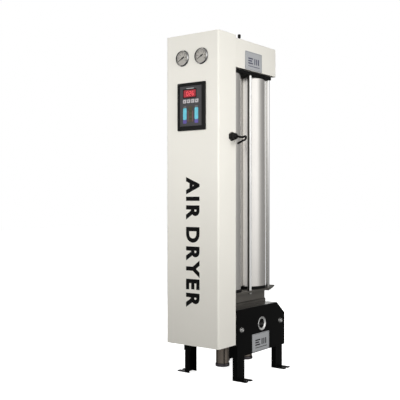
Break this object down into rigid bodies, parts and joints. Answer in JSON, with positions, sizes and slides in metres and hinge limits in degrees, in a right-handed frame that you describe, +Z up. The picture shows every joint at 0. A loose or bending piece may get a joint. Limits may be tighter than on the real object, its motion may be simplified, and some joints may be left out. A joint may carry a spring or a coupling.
{
  "type": "twin-tower compressed air dryer",
  "caption": "Floor-standing heatless desiccant dryer for compressed air: aluminium towers clamped between manifolds, tall control cabinet with gauges and panel, black base on slotted feet.",
  "frame": {"origin": "on the floor, under the middle of the whole footprint, on the left-right centre plane", "axes": "+Z up, -Y towards the cabinet front with the gauges and panel, +X to the right seen from the front"},
  "size_m": [0.336, 0.4824, 1.366],
  "materials": {
    "cabinet_paint": "semi-gloss off-white powder coat",
    "black_paint": "semi-gloss black paint",
    "grey_casting": "grey painted casting",
    "satin_aluminium": "satin drawn tube",
    "machined_aluminium": "machined",
    "bright_steel": "bright plated",
    "chrome": "polished plating",
    "gunmetal": "dull gunmetal",
    "brass": "turned",
    "bezel_black": "dark moulded frame",
    "panel_grey": "matt charcoal membrane",
    "key_white": "pale keys",
    "red_lens": "tinted red window",
    "clear_glass": "clear",
    "label_metal": "silver-grey plate",
    "black_plastic": "moulded black",
    "rubber": "black rubber",
    "desiccant": "packed white beads"
  },
  "bodies": {
    "frame": {"cabinet_cover": "cabinet_paint", "cabinet_back_plate": "cabinet_paint", "control_panel_frame": "bezel_black", "controller_module": "panel_grey", "display_window": "red_lens", "gauge_case_left": "bezel_black", "gauge_case_right": "bezel_black", "gauge_lens_left": "clear_glass", "gauge_lens_right": "clear_glass", "pilot_valve_block": "machined_aluminium", "cable_gland": "black_plastic", "power_cable": "rubber", "top_cover_knob": "black_plastic", "tower_tube_front": "satin_aluminium", "tower_tube_rear": "satin_aluminium", "desiccant_bed_front": "desiccant", "desiccant_bed_rear": "desiccant", "bed_spring_front": "bright_steel", "bed_spring_rear": "bright_steel", "upper_gasket": "rubber", "lower_gasket": "rubber", "tie_rod_front_right": "bright_steel", "tie_rod_front_left": "bright_steel", "tie_rod_middle_right": "bright_steel", "tie_rod_middle_left": "bright_steel", "tie_rod_rear_right": "bright_steel", "tie_rod_rear_left": "bright_steel", "upper_manifold": "machined_aluminium", "top_cover": "cabinet_paint", "top_nameplate": "label_metal", "outlet_port_ring": "chrome", "lower_flange_plate": "grey_casting", "lower_manifold": "grey_casting", "valve_block": "machined_aluminium", "silencer_front": "gunmetal", "silencer_rear": "gunmetal", "base_cover": "black_paint", "side_plate_right": "black_paint", "side_plate_left": "black_paint", "leg_front_right": "black_paint", "leg_front_left": "black_paint", "leg_rear_right": "black_paint", "leg_rear_left": "black_paint", "side_bolt_front_right": "bright_steel", "side_bolt_front_left": "bright_steel", "side_bolt_rear_right": "bright_steel", "side_bolt_rear_left": "bright_steel", "inlet_port_ring": "chrome", "inlet_blanking_plug": "chrome", "lower_nameplate": "label_metal"},
    "pointer_left": {"gauge_needle_left": "black_plastic"},
    "pointer_right": {"gauge_needle_right": "black_plastic"},
    "key_1": {"panel_key_1": "key_white"},
    "key_2": {"panel_key_2": "key_white"},
    "key_3": {"panel_key_3": "key_white"},
    "key_4": {"panel_key_4": "key_white"},
    "inlet_changeover": {"inlet_shuttle": "brass"},
    "outlet_changeover": {"outlet_shuttle": "brass"},
    "exhaust_front": {"exhaust_piston_front": "brass"},
    "exhaust_rear": {"exhaust_piston_rear": "brass"}
  },
  "joints": [
    {"name": "pointer_left_turn", "type": "hinge", "parent": "frame", "child": "pointer_left", "pos_m": [-0.0455, -0.23475, 1.252], "axis": [0, 1, 0], "range_deg": [-15, 255]},
    {"name": "pointer_right_turn", "type": "hinge", "parent": "frame", "child": "pointer_right", "pos_m": [0.0455, -0.23475, 1.252], "axis": [0, 1, 0], "range_deg": [-15, 255]},
    {"name": "key_1_press", "type": "slide", "parent": "frame", "child": "key_1", "axis": [0, 1, 0], "range_m": [0, 0.0012]},
    {"name": "key_2_press", "type": "slide", "parent": "frame", "child": "key_2", "axis": [0, 1, 0], "range_m": [0, 0.0012]},
    {"name": "key_3_press", "type": "slide", "parent": "frame", "child": "key_3", "axis": [0, 1, 0], "range_m": [0, 0.0012]},
    {"name": "key_4_press", "type": "slide", "parent": "frame", "child": "key_4", "axis": [0, 1, 0], "range_m": [0, 0.0012]},
    {"name": "inlet_changeover_slide", "type": "slide", "parent": "frame", "child": "inlet_changeover", "axis": [0, 1, 0], "range_m": [-0.014, 0.014]},
    {"name": "outlet_changeover_slide", "type": "slide", "parent": "frame", "child": "outlet_changeover", "axis": [0, 1, 0], "range_m": [-0.014, 0.014]},
    {"name": "exhaust_front_drop", "type": "slide", "parent": "frame", "child": "exhaust_front", "axis": [0, 0, -1], "range_m": [0, 0.008]},
    {"name": "exhaust_rear_drop", "type": "slide", "parent": "frame", "child": "exhaust_rear", "axis": [0, 0, -1], "range_m": [0, 0.008]}
  ],
  "couplings": [
    {"joint": "outlet_changeover_slide", "follows": "inlet_changeover_slide", "ratio": 1}
  ]
}
